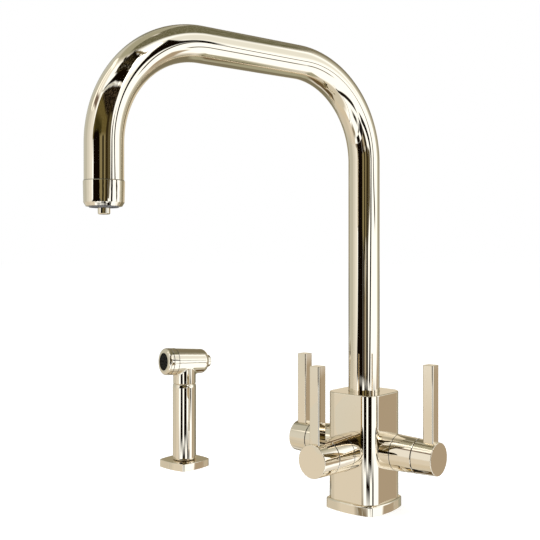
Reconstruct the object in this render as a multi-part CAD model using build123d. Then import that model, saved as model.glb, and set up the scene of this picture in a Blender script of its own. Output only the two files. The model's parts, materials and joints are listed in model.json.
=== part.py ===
from build123d import *
import os
from math import sqrt

# Kitchen mixer with three lever valves (hot, cold, filtered), a swivelling square-bend spout and a
# side spray that stands in its own escutcheon. Millimetres. +Z is up, the deck (worktop) surface is
# Z = 0, and the origin is on the spout column's axis. The front valve looks along -Y.

# ---- Clearances -------------------------------------------------------------------------------
seat_gap = 0.05       # radial, for a piece screwed, pressed or brazed into another
running_gap = 0.06    # radial, for a shaft, disc or bush that turns
face_gap = 0.3        # axial, between two pieces that pass or meet each other
groove_chamfer = 0.35  # each lip of the fine V grooves between the turned pieces

# ---- Deck and fixing kit ----------------------------------------------------------------------
deck_thickness = 30.0  # worktop that both holders clamp
shank_r = 16.0
shank_bore_r = 14.0
shank_engagement = 8.0  # screwed into the underside of the body
shank_free_end = 14.0   # thread left below the lock nut
thread_depth = 0.6      # a thread that stands free is drawn at its root
rubber_washer_t = 3.0
rubber_washer_r = 24.0
steel_washer_t = 2.0
steel_washer_r = 23.5
nut_t = 8.0
nut_r = 25.0
deck_seal_t = 1.6
deck_seal_w = 3.0
deck_seal_inset = 3.1  # from the middle of the plinth's side to the seal

# ---- Body and plinth --------------------------------------------------------------------------
body_width = 45.6      # between the middles of two opposite sides
body_bulge = 1.9       # how far each side swells past its corners
body_corner_r = 3.0
body_edge_r = 0.5
body_top_r = 1.2
plinth_height = 8.1
plinth_step = 2.9      # how far the plinth stands out past the body
plinth_bulge = 3.5
plinth_corner_r = 5.0
plinth_edge_r = 1.5
body_foot_chamfer = 0.4
web_over_valves = 5.6  # metal between the valve bores and the spout socket
socket_depth = 30.0

# ---- Waterways in the body --------------------------------------------------------------------
inlet_r = 4.5          # M10 fine thread for the flexible tails
inlet_depth = 10.0
inlet_pitch_r = 8.6
drill_r = 2.0
filter_drill_r = 1.2
diverter_r = 7.9
diverter_length = 26.0
diverter_waist_r = 5.4
diverter_waist_length = 10.0

# ---- Valves -----------------------------------------------------------------------------------
valve_height = 48.5    # axis above the deck
valve_bore_r = 10.0
valve_seat = 10.5      # bottom of each valve bore, out from the column axis
valve_reach = 69.1     # end face of the handle, out from the column axis
barrel_root_r = 14.7   # at the body
barrel_end_r = 12.8    # at the end face
spotface_inset = 1.4   # how deep the collar is let into the bulged side
collar_length = 11.4
shroud_length = 18.6
collar_web_t = 1.5
cartridge_flange_r = 11.4
cartridge_flange_t = 6.0
cartridge_neck_r = 9.5
cartridge_neck_length = 15.0
cartridge_tip_r = 7.0
cartridge_tip_length = 2.5
cartridge_nose_r = 7.6
disc_r = 6.0
disc_t = 2.5
disc_port_r = 1.6
disc_port_pitch = 3.1
spindle_r = 4.0
spindle_flange_t = 1.6
spline_r = 3.6
spline_grip = 10.0     # how far the spindle's spline goes into the hub
cap_edge_r = 0.4

# ---- Levers -----------------------------------------------------------------------------------
lever_width = 9.1
lever_edge_r = 1.0
lever_reach = 71.7     # top of the lever, out from the valve axis
lever_setback = 2.6    # lever's outer face behind the handle's end face
lever_root = 9.6       # bottom of the lever's pocket, out from the valve axis
hub_screw_r = 2.0
hub_screw_length = 6.0

# ---- Spout ------------------------------------------------------------------------------------
tube_r = 12.7
tube_wall = 1.2
spout_reach = 235.1    # column axis to outlet axis
outlet_leg = 23.0      # straight tube between the outlet's bend and its housing
run_drop = 3.3         # fall of the run towards the outlet
column_bend_r = 71.8
outlet_bend_r = 75.0
spout_turn = 10.0      # degrees the spout stands turned from -Y towards -X
tube_entry = 3.0       # tube that goes down into the body
tail_r = 12.1
tail_bore_r = 8.5
tail_groove_depth = 1.4
tail_spigot_length = 12.0
o_ring_section_r = 0.95
bush_height = 3.6
bush_split = 2.0
retaining_screw_r = 2.5
retaining_screw_inset = 3.9  # outer end below the middle of the body's back
filter_tube_r = 3.0
filter_tube_wall = 0.7

# ---- Outlet -----------------------------------------------------------------------------------
outlet_height = 235.3  # bottom of the aerator housing above the deck
housing_length = 16.3
housing_top_r = 13.2
housing_foot_r = 12.9
housing_chamfer_w = 1.4
housing_chamfer_h = 2.4
adapter_thread_r = 10.6
adapter_thread_length = 7.0
adapter_spigot_length = 11.0
adapter_hole_r = 1.8
adapter_hole_count = 6
outlet_lip_t = 4.2
aerator_r = 9.4
aerator_flange_t = 3.0
aerator_protrusion = 0.8
aerator_hole_r = 0.8
aerator_hole_count = 12
nozzle_r = 3.95
nozzle_bore_r = 1.8
nozzle_protrusion = 5.1

# ---- Side spray: holder -----------------------------------------------------------------------
spray_spacing = 208.0  # column axis to spray axis, towards -X
spray_forward = 5.3    # the spray stands this much further to the front (-Y)
spray_turn = 14.0      # degrees the spray head stands turned from -Y towards -X
escutcheon_width = 38.4
escutcheon_bulge = 2.2
escutcheon_corner_r = 2.5
escutcheon_height = 7.0
holder_shank_r = 13.0
holder_shank_engagement = 4.5
holder_free_end = 12.0
holder_washer_r = 20.0
holder_nut_r = 19.0
holder_nut_t = 6.0
holder_seal_t = 1.2
holder_seal_w = 2.0
guide_r = 10.2         # bore of the holder that the guide bush turns in
guide_depth = 18.0     # how far the guide bush reaches below the deck

# ---- Side spray: handle and head --------------------------------------------------------------
handle_r = 11.3
handle_wall = 1.7
handle_foot_r = 1.2
handle_top = 80.6
handle_shoulder_length = 3.6
handle_shoulder_inset = 0.55  # the handle draws in this much towards the head
tail_plug_length = 16.0
spray_tail_r = 8.5
spray_tail_depth = 22.0  # how far the spray's tail reaches below the deck
hose_thread_r = 6.9
hose_thread_length = 11.0
spray_bore_r = 4.0
neck_r = 11.0
neck_bore_r = 5.0
neck_spigot_length = 9.0
neck_fillet_r = 2.6
head_height = 101.9    # head axis above the deck, at the handle's axis
head_rise = 3.0        # degrees the front of the head looks up
head_front_r = 12.7
head_rear_r = 11.9
head_front = 12.0      # along the head's axis, from the handle's axis
head_shoulder = 16.5
head_shoulder_length = 5.8
head_rear_face_r = 8.8
band_length = 5.4
collar_ring_length = 5.4
ring_r = 12.9
face_edge_r = 3.0
rose_r = 8.4
rose_recess = 0.8
rose_depth = 6.0
chamber_r = 9.0
chamber_depth = 8.0
spray_valve_r = 5.9
spray_valve_length = 15.8
spray_valve_waist_r = 4.2
button_r = 6.0
button_stand = 4.3     # how far the button stands out of its bezel
button_travel = 3.0
button_flange_r = 7.2
button_flange_t = 1.5
button_edge_r = 1.0
bezel_t = 3.0
bezel_stand = 0.7      # how far the bezel stands out of the head
stem_r = 1.6
poppet_r = 4.2
poppet_t = 1.3
spring_wire_r = 0.35
spring_coil_r = 3.0
spring_turns = 4.0

# ---- Worked out from the dimensions above -----------------------------------------------------
BASE = (Align.CENTER, Align.CENTER, Align.MIN)
tube_inner_r = tube_r - tube_wall
socket_r = tube_r + running_gap
socket_floor = valve_height + valve_bore_r + web_over_valves
body_top = socket_floor + socket_depth
recess_top = plinth_height + shank_engagement
inlet_top = recess_top + inlet_depth
diverter_low = socket_floor - diverter_length
filter_low = diverter_low - 7.0
tube_end = outlet_height + housing_length
spout_height = tube_end + outlet_leg + outlet_bend_r + run_drop  # level run, over the column
rubber_low = -deck_thickness - rubber_washer_t
steel_low = rubber_low - steel_washer_t
nut_low = steel_low - nut_t
shank_low = nut_low - shank_free_end
spotface = body_width / 2 - spotface_inset
collar_end = spotface + collar_length
shroud_end = collar_end + shroud_length
hub_start = shroud_end + face_gap
lever_centre = valve_reach - lever_setback - lever_width / 2
spout_place = Rot(0, 0, -90 - spout_turn)
outlet_place = spout_place * Pos(spout_reach, 0, 0)
spray_place = Pos(-spray_spacing, -spray_forward, 0)
head_axis = Vector(0, -1, 0).rotate(Axis.X, -head_rise).rotate(Axis.Z, -spray_turn)
head_side = Vector(0, 0, 1).cross(Vector(head_axis.X, head_axis.Y, 0)).normalized()
head_centre = Vector(-spray_spacing, -spray_forward, head_height)
head_place = Plane(head_centre, x_dir=head_side, z_dir=head_axis).location
head_rear = -head_shoulder - head_shoulder_length
bezel_low = head_rear - bezel_stand
bezel_high = bezel_low + bezel_t
band_front = head_front + band_length
face = band_front + collar_ring_length

# The three valves: name, outward direction. The lever's side is local +Y, which is up.
VALVES = {"hot": (-1, 0, 0), "cold": (1, 0, 0), "filter": (0, -1, 0)}


# ---- Shared shapes ----------------------------------------------------------------------------
def rod(radius, low, high):
    """A cylinder about Z between two heights."""
    return Pos(0, 0, low) * Cylinder(radius, high - low, align=BASE)


def ring(outer, inner, low, high):
    """A ring about Z between two heights."""
    return rod(outer, low, high) - rod(inner, low - 1, high + 1)


def turned(points):
    """A solid turned about Z from (radius, height) points."""
    outline = make_face(Polyline(*[(r, 0, z) for r, z in points], close=True))
    return revolve(outline, Axis.Z)


def o_ring(centre_r, section_r, height):
    """A rubber ring of round section about Z."""
    return Pos(0, 0, height) * Torus(centre_r, section_r)


def drilling(start, end, radius):
    """A drilled waterway between two points."""
    start, end = Vector(*start), Vector(*end)
    line = end - start
    return Plane(start, z_dir=line).location * Cylinder(radius, line.length, align=BASE)


def bulged_square(width, bulge, corner_r):
    """A square outline whose four sides swell outwards in shallow arcs."""
    mid = width / 2
    corner = mid - bulge
    side = ThreePointArc((corner, -corner), (mid, 0), (corner, corner))
    outline = make_face([Rot(0, 0, 90 * i) * side for i in range(4)])
    return fillet(outline.vertices(), corner_r)


def top_edges(solid):
    """The edges round the highest flat face's outline."""
    return solid.faces().sort_by(Axis.Z)[-1].outer_wire().edges()


def bottom_edges(solid):
    """The edges round the lowest flat face's outline."""
    return solid.faces().sort_by(Axis.Z)[0].outer_wire().edges()


def barrel_r(out):
    """Radius of the tapering valve barrel at a distance out from the column axis."""
    share = (out - spotface) / (valve_reach - spotface)
    return barrel_root_r + (barrel_end_r - barrel_root_r) * share


def valve_place(name):
    """Where a valve drawn along local +Z belongs, with its lever side up."""
    outward = Vector(*VALVES[name])
    across = Vector(0, 0, 1).cross(outward)
    return Plane((0, 0, valve_height), x_dir=across, z_dir=outward).location


# ---- Fixing kit under the deck ----------------------------------------------------------------
def threaded_shank(radius, bore, end, nut, top):
    """A hollow shank, full width in the body and in its nut and at the thread's root elsewhere."""
    shank = rod(radius - thread_depth, end, top)
    shank += rod(radius, nut, -deck_thickness)
    shank += rod(radius, 0, top)
    shank = chamfer(bottom_edges(shank), thread_depth)
    return shank - rod(bore, end - 1, top + 1)


def make_mounting_shank():
    return threaded_shank(shank_r, shank_bore_r, shank_low, nut_low, recess_top)


def make_hex_nut(across_r, bore, low, high):
    nut = Pos(0, 0, low) * extrude(RegularPolygon(across_r, 6), high - low)
    dome = turned([(0, low), (across_r * 0.9, low), (across_r, low + 1.5), (across_r, high), (0, high)])
    return (nut & dome) - rod(bore, low - 1, high + 1)


# ---- Body -------------------------------------------------------------------------------------
def make_base_plinth():
    width = body_width + 2 * plinth_step
    plinth = extrude(bulged_square(width, plinth_bulge, plinth_corner_r), plinth_height)
    plinth = fillet(top_edges(plinth), plinth_edge_r)
    plinth -= rod(shank_r + seat_gap, -1, plinth_height + 1)
    seal_r = width / 2 - deck_seal_inset
    return plinth - ring(seal_r, seal_r - deck_seal_w, -1, deck_seal_t)


def make_deck_seal():
    seal_r = body_width / 2 + plinth_step - deck_seal_inset - seat_gap
    return ring(seal_r, seal_r - deck_seal_w + 2 * seat_gap, 0, deck_seal_t - seat_gap)


def inlet_points():
    """Plan positions of the hot, cold, filtered and spray threads in the body's underside."""
    p = inlet_pitch_r
    return {"hot": (-p, 0), "cold": (p, 0), "filter": (0, -p), "spray": (0, p)}


def waterways():
    """The drillings that join the inlets, valve bores, mixing chamber and spray outlet."""
    ways = []
    start_z = inlet_top - 1
    bore_low = valve_height - valve_bore_r
    seat = valve_seat + 3.0
    port = valve_seat + 7.0
    for name in VALVES:
        x, y = inlet_points()[name]
        u, v = x / inlet_pitch_r, y / inlet_pitch_r
        ways.append(drilling((x, y, start_z), (seat * u, seat * v, bore_low + 2), drill_r))
        if name != "filter":
            top = (port * u, port * v, valve_height + valve_bore_r - 1.5)
            chamber = ((valve_seat - 1) * u, (valve_seat - 1) * v, socket_floor + 2)
            ways.append(drilling(top, chamber, drill_r))
    side = valve_bore_r * 0.65
    filter_foot = (0, 0, filter_low + 0.8)
    ways.append(drilling((side, -port, valve_height - 5.5), filter_foot, filter_drill_r))
    x, y = inlet_points()["spray"]
    ways.append(drilling((x, y, start_z), (x, y * 0.7, diverter_low + 1), drill_r))
    return ways


def make_mixer_body():
    blank = extrude(bulged_square(body_width, body_bulge, body_corner_r), body_top - plinth_height)
    body = Pos(0, 0, plinth_height) * blank
    body = fillet(top_edges(body), body_top_r)
    body = chamfer(bottom_edges(body), body_foot_chamfer)
    cuts = [rod(socket_r, socket_floor, body_top + 1)]
    cuts.append(rod(diverter_r + seat_gap, diverter_low, socket_floor + 1))
    cuts.append(rod(filter_tube_r + running_gap, filter_low, diverter_low + 1))
    cuts.append(rod(shank_r + seat_gap, plinth_height - 1, recess_top))
    for x, y in inlet_points().values():
        cuts.append(Pos(x, y, 0) * rod(inlet_r, recess_top - 1, inlet_top))
    for name in VALVES:
        place = valve_place(name)
        cuts.append(place * rod(valve_bore_r, valve_seat, body_width))
        cuts.append(place * rod(barrel_root_r + seat_gap, spotface, body_width))
    hole = Plane((0, 0, screw_height()), z_dir=(0, 1, 0)).location
    cuts.append(hole * rod(retaining_screw_r + seat_gap, socket_r - 1, body_width))
    return body - cuts - waterways()


def screw_height():
    """Height of the screw that keeps the spout in its socket."""
    return socket_floor + socket_depth * 0.53


def make_spout_retaining_screw():
    tip = tail_r - tail_groove_depth + 3 * running_gap
    end = body_width / 2 - retaining_screw_inset
    body = chamfer(bottom_edges(rod(retaining_screw_r, tip, end)), retaining_screw_r * 0.25)
    key = Pos(0, 0, end - 2.5) * extrude(RegularPolygon(1.4, 6), 3)
    return Plane((0, 0, screw_height()), z_dir=(0, 1, 0)).location * (body - key)


def make_diverter():
    """Pressure diverter that sends water to the spray; the filtered tube passes through it."""
    low, high = diverter_low + seat_gap, socket_floor - seat_gap
    middle = (low + high) / 2
    half = diverter_waist_length / 2
    r, waist = diverter_r, diverter_waist_r
    shape = turned([(0, low), (r, low), (r, middle - half), (waist, middle - half),
                    (waist, middle + half), (r, middle + half), (r, high), (0, high)])
    shape -= rod(filter_tube_r + running_gap, low - 1, high + 1)
    flute = rod(1.3, low - 1, high + 1)
    return shape - [loc * flute for loc in PolarLocations(r - 1.0, 4)]


# ---- Valves -----------------------------------------------------------------------------------
def disc_pocket_top():
    """Outer end of the pocket that holds the two ceramic discs and the spindle's flange."""
    return valve_seat + 2 * disc_t + spindle_flange_t + 3 * seat_gap


def make_cartridge():
    """Brass headwork: seat nose, body thread, clamping flange, shroud thread, spindle guide."""
    web_top = spotface + collar_web_t + seat_gap
    nose_end = spotface - 6.4
    flange_end = web_top + cartridge_flange_t
    neck_end = flange_end + cartridge_neck_length
    tip_end = neck_end + cartridge_tip_length
    nose, thread = cartridge_nose_r, valve_bore_r - seat_gap
    pocket_top = disc_pocket_top()
    low = valve_seat + seat_gap
    shape = turned([(0, low), (nose, low), (nose, nose_end), (thread, nose_end + 1.5),
                    (thread, web_top), (cartridge_flange_r, web_top),
                    (cartridge_flange_r, flange_end), (cartridge_neck_r, flange_end),
                    (cartridge_neck_r, neck_end), (cartridge_tip_r, neck_end),
                    (cartridge_tip_r, tip_end), (0, tip_end)])
    shape -= rod(disc_r + running_gap, low - 1, pocket_top)
    shape -= rod(spindle_r + running_gap, low, tip_end + 1)
    port = Plane((0, 0, pocket_top - 1.0), z_dir=(0, 1, 0)).location * rod(1.2, 0, thread + 1)
    return shape - [Rot(0, 0, 90 * i) * port for i in range(4)]


def disc_ports(low):
    port = rod(disc_port_r, low - 1, low + disc_t + 1)
    return [loc * port for loc in PolarLocations(disc_port_pitch, 2)]


def make_fixed_disc():
    low = valve_seat + seat_gap
    return rod(disc_r, low, low + disc_t) - disc_ports(low)


def make_moving_disc():
    low = valve_seat + 2 * seat_gap + disc_t
    drive = Pos(0, 0, low + disc_t - 0.8) * Box(2 * disc_r + 1, 2.4, 2, align=BASE)
    return rod(disc_r, low, low + disc_t) - disc_ports(low) - drive


def make_spindle():
    """Stem that turns the moving disc: drive blade, flange, guide length and splined end."""
    flange_low = valve_seat + 3 * seat_gap + 2 * disc_t
    guide_low = flange_low + spindle_flange_t - seat_gap
    spline_low = shroud_end - 3.0
    top = hub_start + spline_grip
    blade = Pos(0, 0, flange_low - 0.7) * Box(2 * disc_r - 1, 2.3, 1.0, align=BASE)
    stem = turned([(0, flange_low), (disc_r - running_gap, flange_low),
                   (disc_r - running_gap, guide_low), (spindle_r, guide_low),
                   (spindle_r, spline_low), (spline_r, spline_low), (spline_r, top), (0, top)])
    return stem + blade


def make_collar():
    """First sleeve, let into the body's bulged side and clamped under the cartridge's flange."""
    high = collar_end
    shape = turned([(0, spotface), (barrel_root_r, spotface),
                    (barrel_r(high - groove_chamfer), high - groove_chamfer),
                    (barrel_r(high) - groove_chamfer, high), (0, high)])
    shape -= rod(valve_bore_r, spotface - 1, high + 1)
    return shape - rod(cartridge_flange_r + seat_gap, spotface + collar_web_t, high + 1)


def make_shroud():
    """Second sleeve, screwed on the cartridge's neck."""
    low, high, lip = collar_end, shroud_end, groove_chamfer
    shape = turned([(0, low), (barrel_r(low) - lip, low), (barrel_r(low + lip), low + lip),
                    (barrel_r(high - lip), high - lip), (barrel_r(high) - lip, high), (0, high)])
    shape -= rod(cartridge_neck_r + seat_gap, low - 1, high + 1)
    return shape - rod(barrel_r(high) - 2.4, high - 5.5, high + 1)


def make_hub():
    """Turning end of the handle, with the lever's pocket and the screw that grips the spline."""
    low, high, lip = hub_start, valve_reach, groove_chamfer
    shape = turned([(0, low), (barrel_r(low) - lip, low), (barrel_r(low + lip), low + lip),
                    (barrel_end_r, high), (0, high)])
    shape = fillet(top_edges(shape), cap_edge_r)
    shape -= rod(spline_r + seat_gap, low - 1, low + spline_grip + 0.5)
    shape -= lever_blank(lever_root, barrel_root_r + 1)
    hole = Plane((0, 0, hub_screw_out()), z_dir=(0, -1, 0)).location
    return shape - hole * rod(hub_screw_r + seat_gap, 0, barrel_root_r + 1)


def hub_screw_out():
    """Where the hub's screw stands along the valve: over the grip of the spline."""
    return hub_start + spline_grip * 0.6


def make_hub_screw():
    low = spline_r + seat_gap
    body = rod(hub_screw_r, low, low + hub_screw_length)
    key = Pos(0, 0, low + hub_screw_length - 2) * extrude(RegularPolygon(1.15, 6), 3)
    return Plane((0, 0, hub_screw_out()), z_dir=(0, -1, 0)).location * (body - key)


def lever_blank(low, high):
    """The lever's square bar between two distances from the valve axis, along local +Y."""
    section = RectangleRounded(lever_width, lever_width, lever_edge_r)
    up = Plane((0, 0, lever_centre), x_dir=(1, 0, 0), z_dir=(0, 1, 0)).location
    return up * Pos(0, 0, low) * extrude(section, high - low)


def make_lever():
    bar = lever_blank(lever_root, lever_reach)
    tip = bar.faces().sort_by(Axis.Y)[-1]
    return chamfer(tip.outer_wire().edges(), 0.25)


# ---- Spout ------------------------------------------------------------------------------------
def spout_path(low, end):
    """The spout's centre line in its own XZ plane, from the column's foot to the outlet."""
    corners = [(0, low), (0, spout_height), (spout_reach, spout_height - run_drop)]
    corners.append((spout_reach, end))
    return Plane.XZ * FilletPolyline(*corners, radius=[column_bend_r, outlet_bend_r])


def swept_tube(outer, inner, path):
    """A tube of one bore along a path."""
    start = Plane(path @ 0, z_dir=path % 0)
    return sweep(start * Circle(outer), path=path) - sweep(start * Circle(inner), path=path)


def make_spout_tube():
    path = spout_path(body_top - tube_entry, tube_end)
    return spout_place * swept_tube(tube_r, tube_inner_r, path)


def make_filter_tube():
    path = spout_path(filter_low + 1.5, outlet_height + outlet_lip_t + aerator_flange_t)
    return spout_place * swept_tube(filter_tube_r, filter_tube_r - filter_tube_wall, path)


def tail_low():
    return socket_floor + face_gap


def tail_grooves():
    """(low, high) of the tail's grooves: two O-rings, two bushes, then the retaining screw."""
    o_h = 2 * o_ring_section_r + 2 * seat_gap
    b_h = bush_height + 2 * seat_gap
    low = tail_low() + 2.0
    first_bush = low + o_h + 1.2
    top = body_top - tube_entry - 0.8
    second_bush = top - b_h
    second_o = second_bush - 1.2 - o_h
    half = retaining_screw_r + face_gap
    screw = (screw_height() - half, screw_height() + half)
    return {"o_rings": [(low, low + o_h), (second_o, second_o + o_h)],
            "bushes": [(first_bush, first_bush + b_h), (second_bush, top)],
            "screw": [screw]}


def make_spout_tail():
    """Brass spigot under the tube that turns in the body's socket."""
    tube_low = body_top - tube_entry
    tail = rod(tail_r, tail_low(), tube_low)
    tail += rod(tube_inner_r - seat_gap, tube_low, tube_low + tail_spigot_length)
    tail -= rod(tail_bore_r, tail_low() - 1, tube_low + tail_spigot_length + 1)
    for pair in tail_grooves().values():
        for low, high in pair:
            tail -= ring(tail_r + 1, tail_r - tail_groove_depth, low, high)
    return tail


def make_spout_o_rings():
    centre_r = tail_r - tail_groove_depth + seat_gap + o_ring_section_r
    rings = [o_ring(centre_r, o_ring_section_r, (low + high) / 2)
             for low, high in tail_grooves()["o_rings"]]
    return Compound(children=rings)


def make_spout_bushes():
    inner = tail_r - tail_groove_depth + seat_gap
    outer = socket_r - running_gap
    gap = Pos(-outer, 0, 0) * Box(outer, bush_split, 4 * body_top)
    bushes = [ring(outer, inner, low + seat_gap, high - seat_gap) - gap
              for low, high in tail_grooves()["bushes"]]
    return Compound(children=bushes)


# ---- Outlet -----------------------------------------------------------------------------------
def adapter_low():
    return tube_end - adapter_thread_length


def make_outlet_adapter():
    """Plug brazed into the tube's end: carries the housing's thread and the filtered nozzle."""
    top = tube_end + adapter_spigot_length
    shape = rod(adapter_thread_r, adapter_low(), tube_end)
    shape += rod(tube_inner_r - seat_gap, tube_end, top)
    shape -= rod(filter_tube_r + seat_gap, adapter_low() - 1, top + 1)
    hole = rod(adapter_hole_r, adapter_low() - 1, top + 1)
    pitch = (adapter_thread_r + filter_tube_r) / 2
    shape -= [loc * hole for loc in PolarLocations(pitch, adapter_hole_count)]
    return outlet_place * shape


def make_aerator_housing():
    low, top = outlet_height, tube_end
    shape = turned([(0, low), (housing_foot_r - housing_chamfer_w, low),
                    (housing_foot_r, low + housing_chamfer_h), (housing_top_r, top - 0.3),
                    (housing_top_r - 0.3, top), (0, top)])
    shape -= rod(adapter_thread_r + seat_gap, low + outlet_lip_t, top + 1)
    return outlet_place * (shape - rod(aerator_r + seat_gap, low - 1, top))


def aerator_top():
    return outlet_height + outlet_lip_t + aerator_flange_t


def make_aerator_insert():
    low, lip = outlet_height - aerator_protrusion, outlet_height + outlet_lip_t + seat_gap
    shape = rod(aerator_r, low, lip) + rod(adapter_thread_r, lip, aerator_top())
    shape -= rod(nozzle_r + seat_gap, low - 1, aerator_top() + 1)
    shape -= ring(aerator_r - 0.9, nozzle_r + 1.0, low - 1, low + 1.6)
    hole = rod(aerator_hole_r, low, aerator_top() + 1)
    pitch = (aerator_r + nozzle_r) / 2
    return outlet_place * (shape - [loc * hole for loc in PolarLocations(pitch, aerator_hole_count)])


def make_aerator_washer():
    inner = nozzle_r + 1.2
    return outlet_place * ring(adapter_thread_r, inner, aerator_top(), adapter_low() - seat_gap)


def make_filter_nozzle():
    """Separate central outlet for filtered water, fed by the inner tube."""
    low, top = outlet_height - nozzle_protrusion, adapter_low() - seat_gap
    shape = turned([(0, low), (nozzle_r - 0.6, low), (nozzle_r, low + 0.6), (nozzle_r, top), (0, top)])
    shape -= rod(nozzle_bore_r, low - 1, top + 1)
    return outlet_place * (shape - rod(filter_tube_r + seat_gap, aerator_top() - seat_gap, top + 1))


# ---- Side spray: holder -----------------------------------------------------------------------
def holder_levels():
    """Undersides of the holder's washer and nut, and the end of its shank."""
    washer = -deck_thickness - rubber_washer_t
    nut = washer - holder_nut_t
    return washer, nut, nut - holder_free_end


def make_escutcheon():
    plate = bulged_square(escutcheon_width, escutcheon_bulge, escutcheon_corner_r)
    shape = fillet(top_edges(extrude(plate, escutcheon_height)), body_edge_r)
    shape -= rod(guide_r, -1, escutcheon_height + 1)
    shape -= rod(holder_shank_r + seat_gap, -1, holder_shank_engagement)
    inner = holder_shank_r + 1.2
    return spray_place * (shape - ring(inner + holder_seal_w, inner, -1, holder_seal_t))


def make_spray_deck_seal():
    inner = holder_shank_r + 1.2 + seat_gap
    outer = inner + holder_seal_w - 2 * seat_gap
    return spray_place * ring(outer, inner, 0, holder_seal_t - seat_gap)


def make_holder_shank():
    nut, end = holder_levels()[1:]
    top = holder_shank_engagement - seat_gap
    return spray_place * threaded_shank(holder_shank_r, guide_r, end, nut, top)


def make_holder_washer():
    low = holder_levels()[0]
    return spray_place * ring(holder_washer_r, holder_shank_r + seat_gap, low, -deck_thickness)


def make_holder_nut():
    low = holder_levels()[1]
    nut = make_hex_nut(holder_nut_r, holder_shank_r + seat_gap, low, holder_levels()[0])
    return spray_place * nut


def make_guide_bush():
    """Nylon bush that turns in the holder and lets the spray's tail slide."""
    high = escutcheon_height - seat_gap
    inner = spray_tail_r + running_gap
    return spray_place * ring(guide_r - running_gap, inner, -guide_depth, high)


# ---- Side spray: handle and head --------------------------------------------------------------
def handle_low():
    return escutcheon_height + face_gap


def tail_plug_top():
    """Height where the tail ends in the handle's thicker foot."""
    return handle_low() + tail_plug_length


def make_spray_handle():
    lip_r, lip = handle_r - handle_shoulder_inset, handle_top - groove_chamfer
    shoulder = handle_top - handle_shoulder_length
    draw_in = TangentArc((handle_r, 0, shoulder), (lip_r, 0, lip), tangent=(0, 0, 1))
    sides = Polyline((lip_r, 0, lip), (lip_r - groove_chamfer, 0, handle_top), (0, 0, handle_top),
                     (0, 0, handle_low()), (handle_r, 0, handle_low()), (handle_r, 0, shoulder))
    shape = revolve(make_face([*draw_in.edges(), *sides.edges()]), Axis.Z)
    shape = fillet(bottom_edges(shape), handle_foot_r)
    shape -= rod(spray_tail_r + seat_gap, 0, handle_top)
    return spray_place * (shape - rod(handle_r - handle_wall, tail_plug_top(), handle_top + 1))


def make_spray_tail():
    """Foot of the handle: slides in the guide bush and takes the hose's thread."""
    shape = rod(spray_tail_r, -spray_tail_depth, tail_plug_top())
    shape -= rod(spray_bore_r, -spray_tail_depth - 1, tail_plug_top() + 1)
    thread_top = hose_thread_length - spray_tail_depth
    return spray_place * (shape - rod(hose_thread_r, -spray_tail_depth - 1, thread_top))


def head_barrel():
    """The head's outer form along its own axis: a slight taper with a rounded rear shoulder."""
    rear, shoulder = head_rear, -head_shoulder
    mid_r = head_rear_face_r + (head_rear_r - head_rear_face_r) * 0.72
    mid_z = rear + head_shoulder_length * 0.36
    lip = groove_chamfer
    round_edge = ThreePointArc((head_rear_face_r, 0, rear), (mid_r, 0, mid_z), (head_rear_r, 0, shoulder))
    sides = Polyline((head_rear_r, 0, shoulder), (head_front_r, 0, head_front - lip),
                     (head_front_r - lip, 0, head_front), (0, 0, head_front), (0, 0, rear),
                     (head_rear_face_r, 0, rear))
    return revolve(make_face([*round_edge.edges(), *sides.edges()]), Axis.Z)


def make_spray_head():
    """T-shaped head: the barrel and the neck run together through a fillet."""
    neck = spray_place * rod(neck_r, handle_top + face_gap, head_height)
    outer = head_place * head_barrel()
    joined = outer + neck
    seam = [e for e in joined.edges() if seam_edge(e)]
    joined = fillet(seam, neck_fillet_r)
    lip = joined.faces().sort_by(Axis.Z)[0].outer_wire().edges()
    joined = chamfer(lip, groove_chamfer)
    spigot_r = handle_r - handle_wall - seat_gap
    joined += spray_place * rod(spigot_r, handle_top - neck_spigot_length, handle_top + face_gap)
    joined -= spray_place * rod(neck_bore_r, handle_top - neck_spigot_length - 1, head_height)
    flange_bore = button_flange_r + running_gap
    button_room = bezel_high + button_travel + button_flange_t + 2 * face_gap
    joined -= head_place * rod(head_rear_face_r - 0.9 + seat_gap, bezel_low, bezel_high)
    joined -= head_place * rod(flange_bore, bezel_low, button_room)
    joined -= head_place * rod(spray_valve_r + seat_gap, bezel_low, head_front)
    return joined - head_place * rod(chamber_r, head_front - chamber_depth, head_front + 1)


def seam_edge(edge):
    """True for the curve where the neck meets the barrel."""
    centre = edge.center() - head_centre
    box = edge.bounding_box()
    near = sqrt(centre.X ** 2 + centre.Y ** 2) < neck_r + 1
    level = box.max.Z < head_height and box.min.Z > head_height - head_front_r - 3
    tall = box.size.Z > 0.5
    return near and level and tall


def make_spray_band():
    """Ring behind the face collar, set off by two fine grooves."""
    low, high, lip = head_front, band_front, groove_chamfer
    shape = turned([(0, low), (ring_r - lip, low), (ring_r, low + lip), (ring_r, high - lip),
                    (ring_r - lip, high), (0, high)])
    return head_place * (shape - rod(rose_r - 1.2, low - 1, high + 1))


def make_spray_face_collar():
    low, high, lip = band_front, face, groove_chamfer
    shape = turned([(0, low), (ring_r - lip, low), (ring_r, low + lip), (ring_r, high), (0, high)])
    shape = fillet(top_edges(shape), face_edge_r)
    return head_place * (shape - rod(rose_r + seat_gap, low - 1, high + 1))


def make_spray_rose():
    """Rubber face plate with rings of holes, set back inside the collar."""
    high = face - rose_recess
    low = band_front
    shape = rod(rose_r, low, high)
    holes = []
    for pitch_r, count in ((2.2, 4), (4.4, 8), (6.5, 12)):
        hole = rod(0.45, low - 1, high + 1)
        holes += [loc * hole for loc in PolarLocations(pitch_r, count)]
    return head_place * (shape - rod(rose_r - 1.2, low - 1, high - rose_depth * 0.4) - holes)


def spray_valve_span():
    """Ends of the spray's valve body along the head axis."""
    high = head_front - chamber_depth
    return high - spray_valve_length, high


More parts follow.
